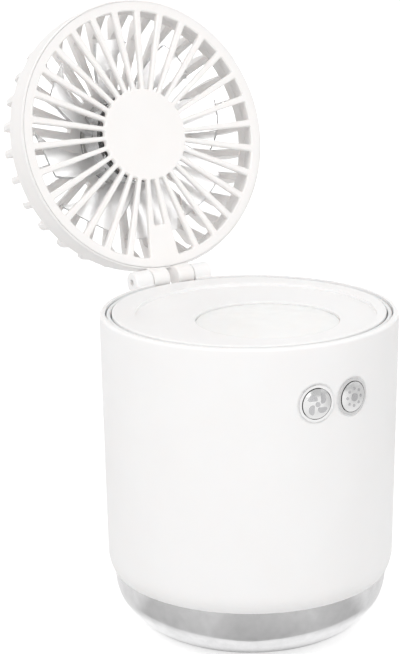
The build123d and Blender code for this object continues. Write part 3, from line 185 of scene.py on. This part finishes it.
FAN_JOINT = next(j for j in frame["record"]["behaviour"]["joints"] if j["name"] == "fan_spin")
HUB_EDGE = 18.4 * MM            # just outside the impeller's hub
WHITE = (0.913, 0.910, 0.909)
WHITE_SHADE = (0.903, 0.897, 0.895)
SOFT = {"Subsurface_Weight": 0.3, "Subsurface_Radius": (1.0, 0.9, 0.85), "Subsurface_Scale": 1.5 * MM}
SOFTER = {**SOFT, "Subsurface_Weight": 0.8}
MATERIALS = {
    "shell_white": plastic("shell_white", WHITE, WHITE_SHADE, 0.36, **SOFT),
    "plate_white": plastic("plate_white", WHITE, WHITE_SHADE, 0.38, **SOFT),
    "head_white": plastic("head_white", (0.91, 0.895, 0.885), (0.898, 0.88, 0.868), 0.33, **SOFT),
    "inner_white": plastic("inner_white", (0.80, 0.80, 0.79), (0.76, 0.76, 0.75), 0.5),
    "impeller_frost": frosted("impeller_frost", (0.96, 0.96, 0.96), (0.95, 0.95, 0.95), FAN_JOINT, HUB_EDGE),
    "motor_grey": plastic("motor_grey", (0.45, 0.45, 0.46), (0.42, 0.42, 0.43), 0.5),
    "bead_grey": plastic("bead_grey", (0.83, 0.84, 0.84), (0.80, 0.81, 0.81), 0.5, **SOFTER),
    "rubber_grey": plastic("rubber_grey", (0.42, 0.42, 0.42), (0.36, 0.36, 0.36), 0.8, 0.6 * MM, 0.03 * MM),
    "part_black": plastic("part_black", (0.03, 0.03, 0.03), (0.045, 0.045, 0.045), 0.45),
    "lens_opal": plastic("lens_opal", (0.92, 0.918, 0.905), (0.91, 0.905, 0.89), 0.22, **SOFTER),
    "led_yellow": plastic("led_yellow", (0.86, 0.74, 0.28), (0.80, 0.66, 0.20), 0.4),
    "board_white": plastic("board_white", (0.84, 0.84, 0.82), (0.80, 0.80, 0.78), 0.4),
    "board_green": plastic("board_green", (0.03, 0.20, 0.08), (0.02, 0.15, 0.06), 0.35),
    "cell_blue": plastic("cell_blue", (0.05, 0.15, 0.45), (0.04, 0.12, 0.38), 0.3),
    "bowl_silver": metal("bowl_silver", (0.69, 0.69, 0.695), 0.13, depth=0.0008 * MM),
    "button_silver": metal("button_silver", (0.84, 0.84, 0.84), 0.14, depth=0.0006 * MM, drift=0.04),
    "bezel_silver": metal("bezel_silver", (0.88, 0.88, 0.88), 0.1, depth=0.0006 * MM, drift=0.04),
    "clip_nickel": metal("clip_nickel", (0.66, 0.63, 0.58), 0.28),
    "screw_steel": metal("screw_steel", (0.60, 0.60, 0.61), 0.3),
    "pin_steel": metal("pin_steel", (0.52, 0.51, 0.50), 0.28),
    "rotor_steel": metal("rotor_steel", (0.86, 0.86, 0.87), 0.45),
    "coil_copper": metal("coil_copper", (0.72, 0.35, 0.18), 0.3),
}

slot_of = {row["node"]: row["material_slot"] for row in frame["record"]["subparts"]}
for name, obj in NODES.items():
    obj.data.materials.clear()
    obj.data.materials.append(MATERIALS[slot_of[name]])


# ---------------------------------------------------------------- marks on the buttons
BUTTON_TURN = radians(8.0)      # each button's place round the body, from the front
BUTTON_Z = 102.5 * MM
CAP_R = 5.5 * MM
CAP_EDGE = 56.1 * MM            # edge of the cap's dome, from the body's axis
CAP_CROWN = 0.8 * MM            # height of the dome
MARK_PROUD = 0.14 * MM          # outside the dome
MARK_SUNK = 0.12 * MM           # inside it
BLADE_STARTS = (20, 110, 200, 290)                      # degrees
BLADE_IN, BLADE_REACH = 1.45 * MM, 2.95 * MM            # from the middle, and along the blade
BLADE_TURN, BLADE_HALF = 34, 27                         # sweep and half width, in degrees
HUB_DOT_R = 0.95 * MM
LAMP_DISC_R, LAMP_DOT_R, LAMP_DOT_CIRCLE_R, LAMP_DOTS = 1.5 * MM, 0.55 * MM, 3.2 * MM, 8
# The marks stand proud of the cap as real relief; their darker metal is painted shade, standing in for the dark
# reflections on the marks' steep sides.
MARK_METAL_PAINTED_DARK = metal("mark_metal_painted_dark", (0.58, 0.58, 0.59), 0.25, depth=0.0006 * MM, drift=0.05)


def cap_height(radius):
    """Height of the cap's dome above its edge."""
    sphere = (CAP_R**2 + CAP_CROWN**2) / (2 * CAP_CROWN)
    return sqrt(sphere**2 - radius**2) - sphere + CAP_CROWN


def raised_mark(name, side, body, loops):
    """Closed loops of points on a button's face, raised a little above its dome."""
    turn = side * BUTTON_TURN
    out = Vector((sin(turn), -cos(turn), 0))
    right = Vector((cos(turn), sin(turn), 0))
    up = Vector((0, 0, 1))
    bm = bmesh.new()
    for loop in loops:
        rows = []
        for lift in (-MARK_SUNK, MARK_PROUD):
            row = []
            for u, v in loop:
                reach = CAP_EDGE + cap_height(hypot(u, v)) + lift
                row.append(bm.verts.new(right * u + up * (BUTTON_Z + v) + out * reach))
            rows.append(row)
        count = len(loop)
        for k in range(count):
            n = (k + 1) % count
            bm.faces.new((rows[0][k], rows[0][n], rows[1][n], rows[1][k]))
        bm.faces.new(rows[1])
        bm.faces.new(rows[0][::-1])
    bmesh.ops.triangulate(bm, faces=[f for f in bm.faces if len(f.verts) > 4])
    bmesh.ops.recalc_face_normals(bm, faces=bm.faces)
    mesh = bpy.data.meshes.new(name)
    bm.to_mesh(mesh)
    bm.free()
    obj = bpy.data.objects.new(name, mesh)
    bpy.context.scene.collection.objects.link(obj)
    mesh.materials.append(MARK_METAL_PAINTED_DARK)
    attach(obj, body)


def disc(u, v, radius, steps=20):
    """Circle of points round a place on the button's face."""
    angles = [2 * pi * k / steps for k in range(steps)]
    return [(u + radius * cos(a), v + radius * sin(a)) for a in angles]


def fan_blade(start, steps=12):
    """Outline of one curved blade about the button's middle: out along one edge, back along the other."""
    points = []
    for edge in (-1, 1):
        side_points = []
        for k in range(steps + 1):
            part = k / steps
            half = BLADE_HALF * sin(pi * (0.12 + 0.82 * part))**0.7
            side_points.append((BLADE_IN + BLADE_REACH * part, start + BLADE_TURN * part + edge * half))
        points += side_points[::-edge]
    return [(r * cos(radians(a)), r * sin(radians(a))) for r, a in points]


fan_loops = [fan_blade(start) for start in BLADE_STARTS] + [disc(0, 0, HUB_DOT_R)]
raised_mark("mark_fan", -1, "fan_button", fan_loops)
lamp_loops = [disc(0, 0, LAMP_DISC_R, 28)]
for u, v in disc(0, 0, LAMP_DOT_CIRCLE_R, LAMP_DOTS):
    lamp_loops.append(disc(u, v, LAMP_DOT_R, 14))
raised_mark("mark_lamp", 1, "light_button", lamp_loops)


# ---------------------------------------------------------------- studio
# Angles are in degrees round the body, from the camera's direction, positive to the right.
FLOOR_SIZE, FLOOR_DROP = 6.0, 0.2 * MM      # the drop keeps the floor clear of the disc's underside
FLOOR_TONE = (0.68, 0.68, 0.68)
SEEN_GLOW = 0.6                 # floor's own light to the camera and through glass
# The rest of the floor's light shows in reflections only. Stops are pairs of place and strength.
FLOOR_STOPS = ((0, 0.0), (38, 0.2), (44, 0.65), (50, 0.7), (56, 0.33), (150, 0.28), (300, 0.0))    # by radius, mm
FAR_GLOW, FAR_START, FAR_FULL = 0.3, 0.2, 0.3           # far floor: strength, and radii of its fade
FAR_FADE_OUT, FAR_FADE_IN = (56, 74), (120, 170)        # where the far floor darkens and comes back
CARD_NEAR, CARD_FAR = 51 * MM, 125 * MM                 # grey card in front: its inner and outer radius
CARD_FLARE = 0.1 * MM           # inner radius gained per degree
CARD_FADE = (67, 79)            # the card's ends, each side
CARD_STOPS = (
    (-71, 0.02), (-47, 0.06), (-23, 0.16), (-8, 0.0), (10, 0.0), (38, 0.12), (56, 0.0), (71, 0.0),
)
DAYLIGHT, DAYLIGHT_TINT = 0.88, (1.0, 0.995, 0.992)
ROOM_BEHIND, ROOM_AHEAD = 0.95, 0.62                    # in reflections: away from, and towards, the camera


def stepped(g, value, stops):
    """A number that runs through stops along the value."""
    start, end = stops[0][0], stops[-1][0]
    ramp = g.node("ShaderNodeValToRGB")
    points = ramp.color_ramp.elements
    points[0].position, points[1].position = 0, 1
    for place, tone in stops[1:-1]:
        points.new((place - start) / (end - start))
    for point, (place, tone) in zip(points, stops):
        point.color = (tone, tone, tone, 1)
    g.put(g.spread(value, 0, 1, start, end), ramp.inputs["Fac"])
    return ramp.outputs["Color"]


def floor_paper():
    """Pale floor: white to the camera and through glass, duller in reflections, with the object's shadow."""
    mat = bpy.data.materials.new("floor_paper")
    mat.use_nodes = True
    g = Graph(mat.node_tree)
    g.tree.nodes.clear()
    place = g.node("ShaderNodeTexCoord").outputs["Object"]
    radius = g.vector("LENGTH", place)
    ahead = g.vector("DOT_PRODUCT", place, tuple(CAMERA_SIDE))
    across = g.vector("DOT_PRODUCT", place, (-CAMERA_SIDE.y, CAMERA_SIDE.x, 0))
    turn = g.math("MULTIPLY", g.math("ARCTAN2", across, ahead), 180 / pi)
    near_edge = g.math("MULTIPLY_ADD", g.math("ABSOLUTE", turn), CARD_FLARE, CARD_NEAR)
    sideways = g.spread(g.math("ABSOLUTE", turn), 1, 0, *CARD_FADE)
    inside = g.math("MULTIPLY", sideways, g.math("LESS_THAN", radius, CARD_FAR))
    on_card = g.math("MULTIPLY", inside, g.math("GREATER_THAN", radius, near_edge))
    around = g.math("ADD", g.spread(turn, 1, 0, *FAR_FADE_OUT), g.spread(turn, 0, 1, *FAR_FADE_IN))
    far = g.math("MULTIPLY", g.spread(radius, 0, FAR_GLOW, FAR_START, FAR_FULL), around)
    open_floor = g.math("ADD", far, stepped(g, g.math("DIVIDE", radius, MM), FLOOR_STOPS))
    card_part = g.math("MULTIPLY", on_card, stepped(g, turn, CARD_STOPS))
    open_part = g.math("MULTIPLY", g.math("SUBTRACT", 1.0, on_card), open_floor)
    shiny = g.math("ADD", card_part, open_part)
    path = g.node("ShaderNodeLightPath").outputs
    seen = g.math("MAXIMUM", path["Is Camera Ray"], path["Is Transmission Ray"])
    strength = g.math("MULTIPLY_ADD", seen, SEEN_GLOW, g.math("MULTIPLY", path["Is Glossy Ray"], shiny))
    diffuse = g.node("ShaderNodeBsdfDiffuse")
    g.put(FLOOR_TONE, diffuse.inputs["Color"])
    glow = g.node("ShaderNodeEmission")
    g.put(strength, glow.inputs["Strength"])
    both = g.node("ShaderNodeAddShader")
    g.put(diffuse.outputs[0], both.inputs[0])
    g.put(glow.outputs[0], both.inputs[1])
    g.put(both.outputs[0], g.node("ShaderNodeOutputMaterial").inputs["Surface"])
    return mat


bpy.ops.mesh.primitive_plane_add(size=FLOOR_SIZE, location=(0, 0, -FLOOR_DROP))
floor = bpy.context.object
floor.name = "floor"
floor.data.materials.append(floor_paper())


def make_world():
    """White to the camera and through glass, daylight on the object, and a duller room in reflections."""
    world = bpy.data.worlds.new("studio")
    bpy.context.scene.world = world
    world.use_nodes = True
    g = Graph(world.node_tree)
    g.tree.nodes.clear()

    def background(strength, colour=(1, 1, 1)):
        node = g.node("ShaderNodeBackground")
        g.put(colour, node.inputs["Color"])
        g.put(strength, node.inputs["Strength"])
        return node.outputs[0]

    path = g.node("ShaderNodeLightPath").outputs
    toward = g.vector("DOT_PRODUCT", g.node("ShaderNodeTexCoord").outputs["Generated"], tuple(CAMERA_SIDE))
    room = background(g.spread(toward, ROOM_BEHIND, ROOM_AHEAD, -0.35, 0.15))
    lit = g.mixed(path["Is Glossy Ray"], background(DAYLIGHT, DAYLIGHT_TINT), room)
    seen = g.math("MAXIMUM", path["Is Camera Ray"], path["Is Transmission Ray"])
    g.put(g.mixed(seen, lit, background(1.0)), g.node("ShaderNodeOutputWorld").inputs["Surface"])


def area_light(name, place, target, size, watts, tint=(1, 1, 1)):
    data = bpy.data.lights.new(name, "AREA")
    data.shape = "RECTANGLE"
    data.size, data.size_y = size
    data.energy = watts
    data.color = tint
    light = bpy.data.objects.new(name, data)
    light.location = place
    light.rotation_mode = "QUATERNION"
    light.rotation_quaternion = (Vector(target) - Vector(place)).to_track_quat("-Z", "Y")
    bpy.context.scene.collection.objects.link(light)


make_world()
AIM = (0, 0.02, 0.11)
area_light("key", (-1.5, -0.7, 1.5), AIM, (1.1, 1.1), 11.0, (1.0, 0.985, 0.98))
area_light("front", (-0.55, -1.7, 0.45), AIM, (1.3, 0.7), 3.0)
area_light("fill", (1.3, -1.3, 0.8), AIM, (1.2, 1.0), 2.5)
area_light("back", (0.95, 1.5, 0.07), AIM, (1.6, 0.12), 6.0)

# ---------------------------------------------------------------- camera
CAMERA_REACH = 675.93 * MM      # from the body's axis, level
CAMERA_Z = 299.05 * MM
YAW, PITCH, ROLL = radians(1.556), radians(15.075), radians(0.665)
FOCAL_PX, IMAGE_LONG_PX = 1866.66, 654
SENSOR = 36.0

turn = Matrix.Rotation(CAMERA_AZIMUTH, 3, "Z")
level = turn @ Vector((-sin(YAW), cos(YAW), 0))
side = turn @ Vector((cos(YAW), sin(YAW), 0))
ahead = level * cos(PITCH) - Vector((0, 0, 1)) * sin(PITCH)
above = level * sin(PITCH) + Vector((0, 0, 1)) * cos(PITCH)
right = side * cos(ROLL) - above * sin(ROLL)
above = side * sin(ROLL) + above * cos(ROLL)
camera_data = bpy.data.cameras.new("camera")
camera_data.sensor_width = SENSOR
camera_data.lens = FOCAL_PX * SENSOR / IMAGE_LONG_PX
camera_data.clip_start, camera_data.clip_end = 0.01, 20
camera = bpy.data.objects.new("camera", camera_data)
camera.matrix_world = Matrix.Translation(turn @ Vector((0, -CAMERA_REACH, CAMERA_Z))) @ Matrix(
    (right, above, -ahead)).transposed().to_4x4()
bpy.context.scene.collection.objects.link(camera)
bpy.context.scene.camera = camera
bpy.context.scene.view_settings.view_transform = "Standard"
